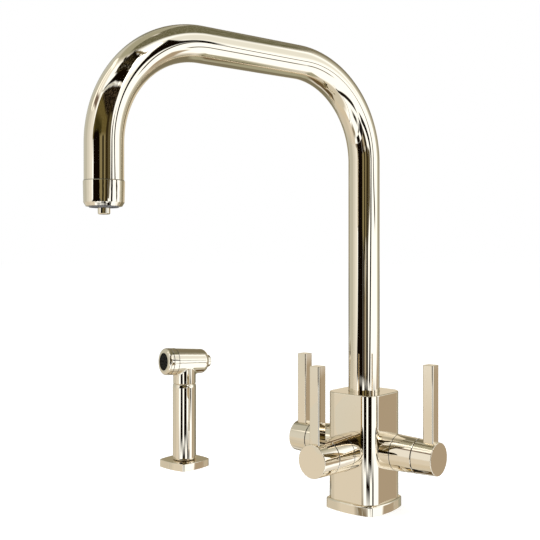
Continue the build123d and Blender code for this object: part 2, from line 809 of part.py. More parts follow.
def make_spray_valve():
    """Valve body in the head; water enters round its waist from the neck."""
    low, high = spray_valve_span()
    waist_low, waist_high = -neck_bore_r, high - 2.0
    r, waist = spray_valve_r, spray_valve_waist_r
    shape = turned([(0, low), (r, low), (r, waist_low), (waist, waist_low), (waist, waist_high),
                    (r, waist_high), (r, high), (0, high)])
    shape -= rod(stem_r + running_gap, low - 1, high + 1)
    shape -= rod(spray_valve_waist_r - 1.2, waist_low + 2, high + 1)
    port = Plane((0, 0, 0), z_dir=(0, 1, 0)).location * rod(1.3, 0, r + 1)
    return head_place * (shape - [Rot(0, 0, 90 * i) * port for i in range(4)])


def make_button_bezel():
    outer = head_rear_face_r - 0.9
    shape = rod(outer, bezel_low, bezel_high - seat_gap)
    shape = chamfer(bottom_edges(shape), 0.4)
    return head_place * (shape - rod(button_r + running_gap, bezel_low - 1, bezel_high + 1))


def make_spray_button():
    low = bezel_low - button_stand
    flange_low = bezel_high + seat_gap
    shape = fillet(bottom_edges(rod(button_r, low, flange_low)), button_edge_r)
    shape += rod(button_flange_r, flange_low, flange_low + button_flange_t)
    return head_place * (shape - rod(stem_r + seat_gap, low + 3.0, flange_low + 5))


def make_spray_stem():
    """Rod from the button to the poppet that opens the spray when it moves forwards."""
    low = bezel_low - button_stand + 3.0 + seat_gap
    seat = spray_valve_span()[1] + seat_gap
    stem = rod(stem_r, low, seat) + rod(poppet_r, seat, seat + poppet_t)
    return head_place * stem


def make_button_spring():
    low = bezel_high + seat_gap + button_flange_t + spring_wire_r + seat_gap
    high = spray_valve_span()[0] - spring_wire_r - seat_gap
    pitch = (high - low) / spring_turns
    coil = Helix(pitch, high - low, spring_coil_r, center=(0, 0, low))
    wire = sweep(Plane(coil @ 0, z_dir=coil % 0) * Circle(spring_wire_r), path=coil, is_frenet=True)
    return head_place * wire


# ---- The list of nodes ------------------------------------------------------------------------
def valve_nodes(name):
    """The pieces of one valve that have a node each, in place."""
    place = valve_place(name)
    pieces = {"collar": make_collar(), "shroud": make_shroud(), "moving_disc": make_moving_disc(),
              "spindle": make_spindle(), "hub": make_hub(), "lever": make_lever(),
              "hub_screw": make_hub_screw()}
    return {f"{name}_{piece}": place * shape for piece, shape in pieces.items()}


def at_each_valve(shape):
    """Three copies of a fixed piece, one in each valve, as separate solids of one node."""
    return Compound(children=[valve_place(name) * shape for name in VALVES])


def all_nodes():
    nodes = {
        "base_plinth": make_base_plinth(),
        "deck_seal": make_deck_seal(),
        "mixer_body": make_mixer_body(),
        "mounting_shank": make_mounting_shank(),
        "rubber_washer": ring(rubber_washer_r, shank_r + seat_gap, rubber_low, -deck_thickness),
        "steel_washer": ring(steel_washer_r, shank_r + seat_gap, steel_low, rubber_low),
        "lock_nut": make_hex_nut(nut_r, shank_r + seat_gap, nut_low, steel_low),
        "spray_diverter": make_diverter(),
        "spout_retaining_screw": make_spout_retaining_screw(),
        "spout_tube": make_spout_tube(),
        "spout_tail": make_spout_tail(),
        "spout_o_rings": make_spout_o_rings(),
        "spout_bushes": make_spout_bushes(),
        "filter_tube": make_filter_tube(),
        "outlet_adapter": make_outlet_adapter(),
        "aerator_housing": make_aerator_housing(),
        "aerator_insert": make_aerator_insert(),
        "aerator_washer": make_aerator_washer(),
        "filter_nozzle": make_filter_nozzle(),
        "valve_cartridges": at_each_valve(make_cartridge()),
        "fixed_discs": at_each_valve(make_fixed_disc()),
    }
    for name in VALVES:
        nodes.update(valve_nodes(name))
    nodes.update({
        "spray_escutcheon": make_escutcheon(),
        "spray_deck_seal": make_spray_deck_seal(),
        "spray_holder_shank": make_holder_shank(),
        "spray_holder_washer": make_holder_washer(),
        "spray_holder_nut": make_holder_nut(),
        "spray_guide_bush": make_guide_bush(),
        "spray_handle": make_spray_handle(),
        "spray_tail": make_spray_tail(),
        "spray_head": make_spray_head(),
        "spray_band": make_spray_band(),
        "spray_face_collar": make_spray_face_collar(),
        "spray_rose": make_spray_rose(),
        "spray_valve": make_spray_valve(),
        "button_bezel": make_button_bezel(),
        "spray_button": make_spray_button(),
        "spray_stem": make_spray_stem(),
        "button_spring": make_button_spring(),
    })
    return nodes


os.makedirs("parts", exist_ok=True)
for node_name, solid in all_nodes().items():
    export_step(solid, f"parts/{node_name}.step")
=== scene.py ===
"""Side spray kitchen faucet: polished skins, threads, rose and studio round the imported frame."""
import json
import math

import bmesh
import bpy
from mathutils import Matrix, Vector


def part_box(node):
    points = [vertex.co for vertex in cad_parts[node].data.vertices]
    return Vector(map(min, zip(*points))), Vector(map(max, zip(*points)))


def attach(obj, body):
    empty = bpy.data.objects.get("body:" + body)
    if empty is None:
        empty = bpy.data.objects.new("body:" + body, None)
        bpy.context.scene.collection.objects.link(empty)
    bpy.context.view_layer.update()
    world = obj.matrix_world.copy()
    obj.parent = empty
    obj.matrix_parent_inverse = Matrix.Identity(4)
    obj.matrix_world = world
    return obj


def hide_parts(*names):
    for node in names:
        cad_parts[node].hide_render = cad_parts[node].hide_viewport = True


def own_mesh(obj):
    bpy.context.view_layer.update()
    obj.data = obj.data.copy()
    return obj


bl_info = {
    "name": "Side spray kitchen faucet",
    "version": (1, 0, 0),
    "blender": (4, 5, 0),
    "location": "View3D > Sidebar > Faucet",
    "description": "Finishes and fine pieces of a kitchen mixer with a side spray",
    "category": "Object",
}

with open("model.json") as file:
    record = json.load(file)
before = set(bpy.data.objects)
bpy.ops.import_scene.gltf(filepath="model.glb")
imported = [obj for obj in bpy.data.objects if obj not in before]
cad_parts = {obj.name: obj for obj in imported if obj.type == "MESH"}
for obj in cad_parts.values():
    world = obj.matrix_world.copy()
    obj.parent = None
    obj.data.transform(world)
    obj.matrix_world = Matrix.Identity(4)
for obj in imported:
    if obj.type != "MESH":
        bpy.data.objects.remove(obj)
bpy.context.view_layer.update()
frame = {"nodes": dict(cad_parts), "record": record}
NODE_BODY = {node: body for body, nodes in frame["record"]["behaviour"]["bodies"].items()
             for node in nodes}
NODE_SLOT = {part["node"]: part["material_slot"] for part in frame["record"]["subparts"]}
VALVES = ("hot", "cold", "filter")

MERGE, SLIVER = 2e-6, 1e-7              # closest points and shortest edges that a skin keeps
SHARP_TURN = 0.5                        # a sharper edge than this, in radians, stays sharp
NORMAL_WEIGHT = 60                      # how far a skin's large faces rule its normals
ROUND = 96                              # sides of a tube's ring or of a painted groove shade's ring, and steps of a bend
WIRE_SIDES, THREAD_STEPS = 10, 48       # sides of a painted groove shade's section, steps of each turn of a thread
LIP_SIDES, LIP_WIRE_SIDES = 14, 8       # round a nozzle's lip, and round its section
SIDE_STEPS, CORNER_STEPS = 40, 80       # points along each side and corner of the body
EDGE_STEPS = 8                          # steps of the rounding round the body's top
SOCKET_GAP, SOCKET_DEPTH = 0.0002, 0.024            # of the spout's socket, in metres
ROSE_RINGS = ((2.2, 4), (4.4, 8), (6.5, 12))        # radius in millimetres, count of nozzles
LIP_WIRE = 0.36                         # section of a nozzle's lip, as a share of its radius
GROOVE_SHADE_DEPTH = 0.3                        # share of a painted groove shade's thickness that is sunk in its groove

# Threads, in metres: each shank's piece, radius of its crests and length of its low stretch, then
# the plain end below the low stretch, and start and length of the high one.
SHANKS = (("shank", "mounting_shank", 0.016, 0.0128),
          ("holder", "spray_holder_shank", 0.013, 0.0105))
THREAD_END, THREAD_HIGH_START, THREAD_HIGH = 0.001, -0.0292, 0.0284


# ---- Sizes and colours that a user would change ------------------------------------------------
def length(name, about, millimetres):
    """A size in metres, written here in millimetres."""
    return bpy.props.FloatProperty(name=name, description=about, default=millimetres / 1000,
                                   unit="LENGTH", precision=5)


def angle(name, about, degrees):
    """An angle in radians, written here in degrees."""
    return bpy.props.FloatProperty(name=name, description=about, default=math.radians(degrees),
                                   subtype="ANGLE")


def amount(name, about, value, high):
    return bpy.props.FloatProperty(name=name, description=about, default=value, min=0.0, max=high)


def colour(name, about, value):
    return bpy.props.FloatVectorProperty(name=name, description=about, default=value, size=3,
                                         min=0.0, max=1.0, subtype="COLOR")


class FaucetSizes(bpy.types.PropertyGroup):
    """Sizes of the pieces made here, on the CAD frame."""
    tube_r: length("Tube radius", "Outside of the spout's tube", 12.7)
    tube_wall: length("Tube wall", "Wall of the spout's tube", 1.2)
    tube_foot: length("Tube foot", "Height where the tube starts, inside the body", 91.1)
    reach: length("Reach", "Column axis to outlet axis", 235.1)
    run_height: length("Run height", "Centre of the level run over the column", 352.9)
    run_drop: length("Run drop", "Fall of the run towards the outlet", 3.3)
    column_bend: length("Column bend", "Radius of the bend over the column", 71.8)
    outlet_bend: length("Outlet bend", "Radius of the bend over the outlet", 75.0)
    tube_end: length("Tube end", "Height where the tube meets the outlet's housing", 251.6)
    spout_turn: angle("Spout turn", "Turn of the spout from the front valve", 10.0)
    body_half: length("Body half width", "Middle of the body's sides from its axis", 23.2)
    body_edge: length("Body edge", "Rounding round the body's top", 0.8)
    body_bulge: length("Body bulge", "How far the body's sides swell", 0.2)
    body_corner: length("Body corner", "Radius of the body's upright corners", 11.0)
    # Thickness of the dark ring in each groove, which is painted shade standing in for the groove's
    # shadow
    seam: length("Seam", "Thickness of the dark joint in each groove", 0.5)
    thread_pitch: length("Thread pitch", "Pitch of both holders' threads", 1.5)
    thread_depth: length("Thread depth", "Depth of both holders' threads", 0.6)
    spray_spacing: length("Spray spacing", "Column axis to spray axis", 208.0)
    spray_forward: length("Spray forward", "How far the spray stands in front of the column", 5.3)
    spray_turn: angle("Spray turn", "Turn of the spray's head", 14.0)
    head_rise: angle("Head rise", "Rise of the spray's head to the front", 3.0)
    head_height: length("Head height", "Axis of the spray's head over its foot", 101.9)
    rose_face: length("Rose face", "Rubber face along the head's axis", 22.0)
    band_r: length("Band radius", "Outside of the two rings on the head", 12.9)
    band_back: length("Band back", "Back of the rings along the head's axis", 12.0)
    band_front: length("Band front", "Joint of the two rings along the head's axis", 17.4)
    nozzle_lip_r: length("Nozzle lip", "Radius of the raised lip round each nozzle", 0.6)


class FaucetColours(bpy.types.PropertyGroup):
    """Colours of the finishes."""
    nickel: colour("Nickel", "Warm polished nickel", (0.76, 0.67, 0.53))
    brass: colour("Brass", "Bare machined brass", (0.72, 0.52, 0.24))
    steel: colour("Steel", "Plated steel", (0.60, 0.60, 0.59))
    rubber: colour("Rubber", "Black rubber", (0.02, 0.02, 0.02))
    rose: colour("Rose", "Dark rubber of the spray's face", (0.005, 0.004, 0.003))
    nylon: colour("Nylon", "Off-white nylon", (0.80, 0.78, 0.71))
    plastic: colour("Plastic", "Grey acetal", (0.23, 0.23, 0.24))
    ceramic: colour("Ceramic", "Ground ceramic discs", (0.84, 0.82, 0.77))
    inner_tube: colour("Inner tube", "Drawn tube for filtered water", (0.70, 0.69, 0.66))


class StudioSettings(bpy.types.PropertyGroup):
    """Camera, light and floor."""
    lens: bpy.props.FloatProperty(name="Lens", description="Focal length", default=55.505,
                                  subtype="DISTANCE_CAMERA")
    azimuth: angle("Azimuth", "Direction of the camera", 40.61)
    roll: angle("Roll", "Roll of the camera", 0.0)
    ambient: amount("Ambient", "Light of the room on dull surfaces", 0.6, 10.0)
    key: amount("Key", "Power of the soft key lamp in watts", 9.0, 1000.0)
    fill: amount("Fill", "Power of the soft fill lamp in watts", 6.0, 1000.0)


# ---- Helpers ----------------------------------------------------------------------------------
def sizes():
    return bpy.context.scene.faucet_sizes


def link(obj):
    bpy.context.scene.collection.objects.link(obj)
    return obj


def wear(piece, slot):
    """piece takes a slot's finish in place of any other."""
    piece.data.materials.clear()
    piece.data.materials.append(bpy.data.materials[slot])


def keep(piece, node):
    """piece stands for a CAD node: it rides on the same body and takes the same slot."""
    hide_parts(node)
    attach(piece, NODE_BODY[node])
    wear(piece, NODE_SLOT[node])
    return piece


def add(piece, body, slot):
    """piece is an addition that rides on a body."""
    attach(piece, body)
    wear(piece, slot)


def shade(work):
    """Smooth faces, with sharp edges where the surface turns more or is open."""
    for edge in work.edges:
        edge.smooth = len(edge.link_faces) == 2 and edge.calc_face_angle(0.0) < SHARP_TURN
    for face in work.faces:
        face.smooth = True


def even_normals(piece):
    """Normals weighted by area, so that roundings don't bend the light on flat faces."""
    even = piece.modifiers.new("Even normals", "WEIGHTED_NORMAL")
    even.keep_sharp = True
    even.weight = NORMAL_WEIGHT


def smooth_skin(node):
    """A merged, smooth copy of a CAD node's mesh, so that it can carry a mirror finish."""
    mesh = frame["nodes"][node].data.copy()
    mesh.name = node + "_skin"
    work = bmesh.new()
    work.from_mesh(mesh)
    bmesh.ops.remove_doubles(work, verts=work.verts, dist=MERGE)
    bmesh.ops.dissolve_degenerate(work, edges=work.edges, dist=SLIVER)
    shade(work)
    work.to_mesh(mesh)
    work.free()
    if "custom_normal" in mesh.attributes:
        mesh.attributes.remove(mesh.attributes["custom_normal"])
    piece = link(bpy.data.objects.new(node + "_skin", mesh))
    even_normals(piece)
    return keep(piece, node)


def crisp_rims(mesh):
    """Sharp edges round the open ends, so that they don't bend the light on the walls."""
    work = bmesh.new()
    work.from_mesh(mesh)
    for edge in work.edges:
        edge.smooth = not edge.is_boundary
    work.to_mesh(mesh)
    work.free()


# ---- Geometry node trees ----------------------------------------------------------------------
SOCKETS = {float: "NodeSocketFloat", int: "NodeSocketInt"}


class Tree:
    """Builds a Geometry Nodes tree with named inputs that ends in Realize and Set Material."""

    def __init__(self, name, inputs):
        self.group = bpy.data.node_groups.new(name, "GeometryNodeTree")
        face = self.group.interface
        face.new_socket("Geometry", in_out="OUTPUT", socket_type="NodeSocketGeometry")
        for label, kind in inputs.items():
            face.new_socket(label, in_out="INPUT", socket_type=SOCKETS[kind])
        face.new_socket("Material", in_out="INPUT", socket_type="NodeSocketMaterial")
        self.inputs = self.node("NodeGroupInput")

    def node(self, kind, settings=None, **values):
        made = self.group.nodes.new(kind)
        for key, value in (settings or {}).items():
            setattr(made, key, value)
        for key, value in values.items():
            label = key.replace("_", " ")
            self.feed(next(s for s in made.inputs if s.name == label and s.enabled), value)
        return made

    def feed(self, socket, value):
        """A text names one of the tree's inputs; a socket is linked, and a number is set."""
        if isinstance(value, str):
            value = self.inputs.outputs[value]
        if isinstance(value, bpy.types.NodeSocket):
            self.group.links.new(value, socket)
        else:
            socket.default_value = value

    def maths(self, operation, first, second):
        made = self.node("ShaderNodeMath", {"operation": operation})
        for socket, value in zip(made.inputs, (first, second)):
            self.feed(socket, value)
        return made.outputs[0]

    def vector(self, x=0.0, y=0.0, z=0.0):
        return self.node("ShaderNodeCombineXYZ", X=x, Y=y, Z=z).outputs[0]

    def pick(self, kind, choices):
        """One of the choices for each point, by its index."""
        made = self.node("GeometryNodeIndexSwitch", {"data_type": kind})
        while len(made.index_switch_items) < len(choices):
            made.index_switch_items.new()
        self.feed(made.inputs["Index"], self.node("GeometryNodeInputIndex").outputs[0])
        for number, choice in enumerate(choices):
            self.feed(made.inputs[str(number)], choice)
        return made.outputs[0]

    def end(self, geometry):
        real = self.node("GeometryNodeRealizeInstances", Geometry=geometry)
        worn = self.node("GeometryNodeSetMaterial", Geometry=real.outputs[0], Material="Material")
        out = self.node("NodeGroupOutput")
        self.group.links.new(worn.outputs[0], out.inputs[0])
        return self.group


def grow(name, tree, values, material):
    """Runs a tree with its inputs set and keeps the result as a plain mesh."""
    piece = link(bpy.data.objects.new(name, bpy.data.meshes.new(name)))
    modifier = piece.modifiers.new("Grow", "NODES")
    modifier.node_group = tree
    values = dict(values, Material=material)
    for item in tree.interface.items_tree:
        if item.item_type == "SOCKET" and item.in_out == "INPUT" and item.name in values:
            modifier[item.identifier] = values[item.name]
    seen = bpy.context.evaluated_depsgraph_get()
    piece.data = bpy.data.meshes.new_from_object(piece.evaluated_get(seen))
    piece.data.name = name
    piece.modifiers.clear()
    if not piece.data.polygons:
        raise RuntimeError(name + " came out empty")
    return piece


def spout_tree():
    """The spout's tube: two wide bends between three straight lengths."""
    labels = ("Reach", "Run height", "Run drop", "Foot", "End", "Column bend", "Outlet bend",
              "Tube radius")
    tree = Tree("spout tube", {label: float for label in labels})
    low = tree.maths("SUBTRACT", "Run height", "Run drop")
    corners = [tree.vector(z="Foot"), tree.vector(z="Run height"),
               tree.vector(x="Reach", z=low), tree.vector(x="Reach", z="End")]
    line = tree.node("GeometryNodeMeshLine", Count=4)
    placed = tree.node("GeometryNodeSetPosition", Geometry=line.outputs[0],
                       Position=tree.pick("VECTOR", corners))
    path = tree.node("GeometryNodeMeshToCurve", Mesh=placed.outputs[0])
    unused = 0.001  # the path's two ends have no corner to round
    radius = tree.pick("FLOAT", [unused, "Column bend", "Outlet bend", unused])
    bent = tree.node("GeometryNodeFilletCurve", {"mode": "POLY"}, Curve=path.outputs[0],
                     Radius=radius, Count=ROUND)
    ring = tree.node("GeometryNodeCurvePrimitiveCircle", Resolution=ROUND, Radius="Tube radius")
    tube = tree.node("GeometryNodeCurveToMesh", Curve=bent.outputs[0],
                     Profile_Curve=ring.outputs[0])
    return tree.end(tube.outputs[0])


def thread_tree():
    """A thread's ridge: a spiral with a pointed section."""
    tree = Tree("thread", {"Root radius": float, "Depth": float, "Pitch": float, "Length": float,
                           "Low": float})
    turns = tree.maths("DIVIDE", "Length", "Pitch")
    spiral = tree.node("GeometryNodeCurveSpiral", Resolution=THREAD_STEPS, Rotations=turns,
                       Start_Radius="Root radius", End_Radius="Root radius", Height="Length")
    upright = tree.node("GeometryNodeSetCurveNormal", {"mode": "Z_UP"}, Curve=spiral.outputs[0])
    point = tree.node("GeometryNodeCurvePrimitiveCircle", Resolution=4, Radius="Depth")
    ridge = tree.node("GeometryNodeCurveToMesh", Curve=upright.outputs[0],
                      Profile_Curve=point.outputs[0], Fill_Caps=True)
    moved = tree.node("GeometryNodeTransform", Geometry=ridge.outputs[0],
                      Translation=tree.vector(z="Low"))
    flat = tree.node("GeometryNodeSetShadeSmooth", Geometry=moved.outputs[0], Shade_Smooth=False)
    return tree.end(flat.outputs[0])


def seam_tree():
    """A thin ring that fills the bottom of a groove, to carry the painted shade there."""
    tree = Tree("seam", {"Radius": float, "Thickness": float})
    circle = tree.node("GeometryNodeCurvePrimitiveCircle", Resolution=ROUND, Radius="Radius")
    wire = tree.node("GeometryNodeCurvePrimitiveCircle", Resolution=WIRE_SIDES,
                     Radius=tree.maths("MULTIPLY", "Thickness", 0.5))
    ring = tree.node("GeometryNodeCurveToMesh", Curve=circle.outputs[0],
                     Profile_Curve=wire.outputs[0])
    soft = tree.node("GeometryNodeSetShadeSmooth", Geometry=ring.outputs[0], Shade_Smooth=True)
    return tree.end(soft.outputs[0])


def nozzle_tree(rings):
    """Raised rubber lips round the nozzles of a spray's face, on a number of rings."""
    inputs = {"Lip radius": float, "Face": float}
    for number in range(rings):
        inputs[f"Ring {number + 1}"] = float
        inputs[f"Count {number + 1}"] = int
    tree = Tree("nozzles", inputs)
    circle = tree.node("GeometryNodeCurvePrimitiveCircle", Resolution=LIP_SIDES,
                       Radius="Lip radius")
    wire = tree.node("GeometryNodeCurvePrimitiveCircle", Resolution=LIP_WIRE_SIDES,
                     Radius=tree.maths("MULTIPLY", "Lip radius", LIP_WIRE))
    lip = tree.node("GeometryNodeCurveToMesh", Curve=circle.outputs[0],
                    Profile_Curve=wire.outputs[0])
    soft = tree.node("GeometryNodeSetShadeSmooth", Geometry=lip.outputs[0], Shade_Smooth=True)
    join = tree.node("GeometryNodeJoinGeometry")
    for number in range(rings):
        spots = tree.node("GeometryNodeMeshCircle", Vertices=f"Count {number + 1}",
                          Radius=f"Ring {number + 1}")
        lips = tree.node("GeometryNodeInstanceOnPoints", Points=spots.outputs[0],
                         Instance=soft.outputs[0])
        tree.group.links.new(lips.outputs[0], join.inputs[0])
    moved = tree.node("GeometryNodeTransform", Geometry=join.outputs[0],
                      Translation=tree.vector(z="Face"))
    return tree.end(moved.outputs[0])


# ---- Finishes ---------------------------------------------------------------------------------
NOISE_LOW, NOISE_HIGH = 0.3, 0.7  # nearly all of a noise's values lie between these


class Finish:
    """A procedural material on Object coordinates."""

    def __init__(self, name, base, metallic=0.0, **sockets):
        # The frame's plain material of that name gives the name up, or this would get a number.
        if name in bpy.data.materials:
            bpy.data.materials[name].name = name + "_plain"
        self.material = bpy.data.materials.new(name)
        self.material.use_nodes = True
        self.tree = self.material.node_tree
        self.shader = next(n for n in self.tree.nodes if n.type == "BSDF_PRINCIPLED")
        self.base = (*base, 1.0)
        self.shader.inputs["Base Color"].default_value = self.base
        self.shader.inputs["Metallic"].default_value = metallic
        for key, value in sockets.items():
            self.shader.inputs[key.replace("_", " ")].default_value = value
        self.place = self.tree.nodes.new("ShaderNodeTexCoord").outputs["Object"]
        self.material.diffuse_color = self.base

    def noise(self, scale, detail=3.0, stretch=None):
        where = self.place
        if stretch:
            mapping = self.tree.nodes.new("ShaderNodeMapping")
            mapping.inputs["Scale"].default_value = stretch
            self.tree.links.new(where, mapping.inputs["Vector"])
            where = mapping.outputs[0]
        made = self.tree.nodes.new("ShaderNodeTexNoise")
        made.inputs["Scale"].default_value = scale
        made.inputs["Detail"].default_value = detail
        self.tree.links.new(where, made.inputs["Vector"])
        return made.outputs["Fac"]

    def span(self, value, low, high):
        made = self.tree.nodes.new("ShaderNodeMapRange")
        made.inputs["From Min"].default_value = NOISE_LOW
        made.inputs["From Max"].default_value = NOISE_HIGH
        made.inputs["To Min"].default_value = low
        made.inputs["To Max"].default_value = high
        self.tree.links.new(value, made.inputs["Value"])
        return made.outputs["Result"]

    def roughness(self, value, low, high):
        self.tree.links.new(self.span(value, low, high), self.shader.inputs["Roughness"])
        return self

    def bump(self, value, depth, strength=1.0):
        made = self.tree.nodes.new("ShaderNodeBump")
        made.inputs["Distance"].default_value = depth
        made.inputs["Strength"].default_value = strength
        self.tree.links.new(value, made.inputs["Height"])
        self.tree.links.new(made.outputs["Normal"], self.shader.inputs["Normal"])
        return self

    def tint(self, value, low, high):
        """The base colour times low to high, by value."""
        mix = self.tree.nodes.new("ShaderNodeMix")
        mix.data_type = "RGBA"
        for socket, share in ((mix.inputs[6], low), (mix.inputs[7], high)):
            socket.default_value = (*(min(1.0, tone * share) for tone in self.base[:3]), 1.0)
        self.tree.links.new(self.span(value, 0.0, 1.0), mix.inputs[0])
        self.tree.links.new(mix.outputs[2], self.shader.inputs["Base Color"])
        return self


class FAUCET_OT_finishes(bpy.types.Operator):
    """Make the finishes and put them on the CAD pieces"""
    bl_idname = "faucet.finishes"
    bl_label = "Finishes"

    def execute(self, context):
        tones = context.scene.faucet_colours
        nickel = Finish("polished_nickel", tones.nickel, 1.0)
        nickel.roughness(nickel.noise(60.0), 0.012, 0.03)
        nickel.bump(nickel.noise(32.0, 1.0), 0.00006, 0.3)
        brass = Finish("brass", tones.brass, 1.0)
        grain = brass.noise(900.0, 2.0, (0.15, 0.15, 1.0))
        brass.roughness(grain, 0.24, 0.42).bump(grain, 0.00002).tint(brass.noise(70.0), 0.88, 1.08)
        steel = Finish("zinc_steel", tones.steel, 1.0, Anisotropic=0.4)
        grain = steel.noise(1400.0, 2.0, (1.0, 0.08, 1.0))
        steel.roughness(grain, 0.26, 0.44).bump(grain, 0.00001).tint(steel.noise(90.0), 0.9, 1.06)
        rubber = Finish("black_rubber", tones.rubber)
        rubber.roughness(rubber.noise(120.0), 0.55, 0.75).bump(rubber.noise(2500.0), 0.00003)
        rose = Finish("spray_rubber", tones.rose, Specular_IOR_Level=0.15)
        rose.roughness(rose.noise(200.0), 0.6, 0.8).bump(rose.noise(3000.0), 0.00002)
        nylon = Finish("nylon", tones.nylon, Subsurface_Weight=0.1)
        nylon.roughness(nylon.noise(150.0), 0.4, 0.55).tint(nylon.noise(60.0), 0.95, 1.02)
        plastic = Finish("grey_plastic", tones.plastic)
        plastic.roughness(plastic.noise(200.0), 0.35, 0.5).bump(plastic.noise(1800.0), 0.00002)
        ceramic = Finish("ceramic", tones.ceramic, Coat_Weight=0.3)
        ceramic.roughness(ceramic.noise(300.0), 0.18, 0.3).tint(ceramic.noise(200.0), 0.96, 1.02)
        tube = Finish("copper_tube", tones.inner_tube, 1.0)
        tube.roughness(tube.noise(700.0, 2.0), 0.15, 0.28)
        for node, obj in frame["nodes"].items():
            wear(obj, NODE_SLOT[node])
        return {"FINISHED"}


# ---- Studio -----------------------------------------------------------------------------------
CAMERA_PLACE, CAMERA_SHIFT = (0.3887, -0.5634, 0.20174), (-0.0119, -0.0205)
LAMP_SIZE, LAMP_AIM = 1.0, (-0.08, 0.0, 0.15)       # both lamps face the middle of the faucet
KEY_PLACE, FILL_PLACE = (-0.9, -0.9, 1.3), (1.2, -0.2, 1.1)
FLOOR_RADIUS, SHANK_HOLE, HOLDER_HOLE = 30.0, 0.0175, 0.0145
FLOOR_SIDES, HOLE_SIDES = 64, 48
FLOOR_DULL, FLOOR_GLOW = 0.9, 0.47                  # its grey, and the light it adds where seen


class FAUCET_OT_camera(bpy.types.Operator):
    """Set the camera at the height of a worktop photograph"""
    bl_idname = "faucet.camera"
    bl_label = "Camera"

    def execute(self, context):
        studio = context.scene.faucet_studio
        data = bpy.data.cameras.new("camera")
        data.lens = studio.lens
        data.sensor_width = 36.0
        data.shift_x, data.shift_y = CAMERA_SHIFT
        data.clip_start, data.clip_end = 0.01, 100.0
        camera = link(bpy.data.objects.new("camera", data))
        camera.location = CAMERA_PLACE
        turn = Matrix.Rotation(studio.azimuth, 4, "Z") @ Matrix.Rotation(math.radians(90), 4, "X")
        camera.rotation_euler = (turn @ Matrix.Rotation(studio.roll, 4, "Z")).to_euler()
        context.scene.camera = camera
        return {"FINISHED"}


def seen_rays(tree):
    """1 for camera, glossy and transmitted rays."""
    path = tree.nodes.new("ShaderNodeLightPath")
    total = path.outputs["Is Camera Ray"]
    for name in ("Is Glossy Ray", "Is Transmission Ray"):
        most = tree.nodes.new("ShaderNodeMath")
        most.operation = "MAXIMUM"
        tree.links.new(total, most.inputs[0])
        tree.links.new(path.outputs[name], most.inputs[1])
        total = most.outputs[0]
    return total


# Plain shades of the studio's cards.
WHITE, BRIGHT, BLACK = (1.5, 1.62, 1.78), (1.07, 1.13, 1.15), (0.006, 0.003, 0.001)
UMBER, OLIVE, TAN = (0.04, 0.028, 0.01), (0.15, 0.12, 0.04), (0.22, 0.18, 0.09)
BROWN, STRAW, SAND = (0.21, 0.16, 0.1), (0.5, 0.44, 0.28), (0.53, 0.45, 0.35)
GREY, CEILING, PALE = (0.42, 0.42, 0.36), (0.5, 0.51, 0.4), (0.66, 0.68, 0.63)

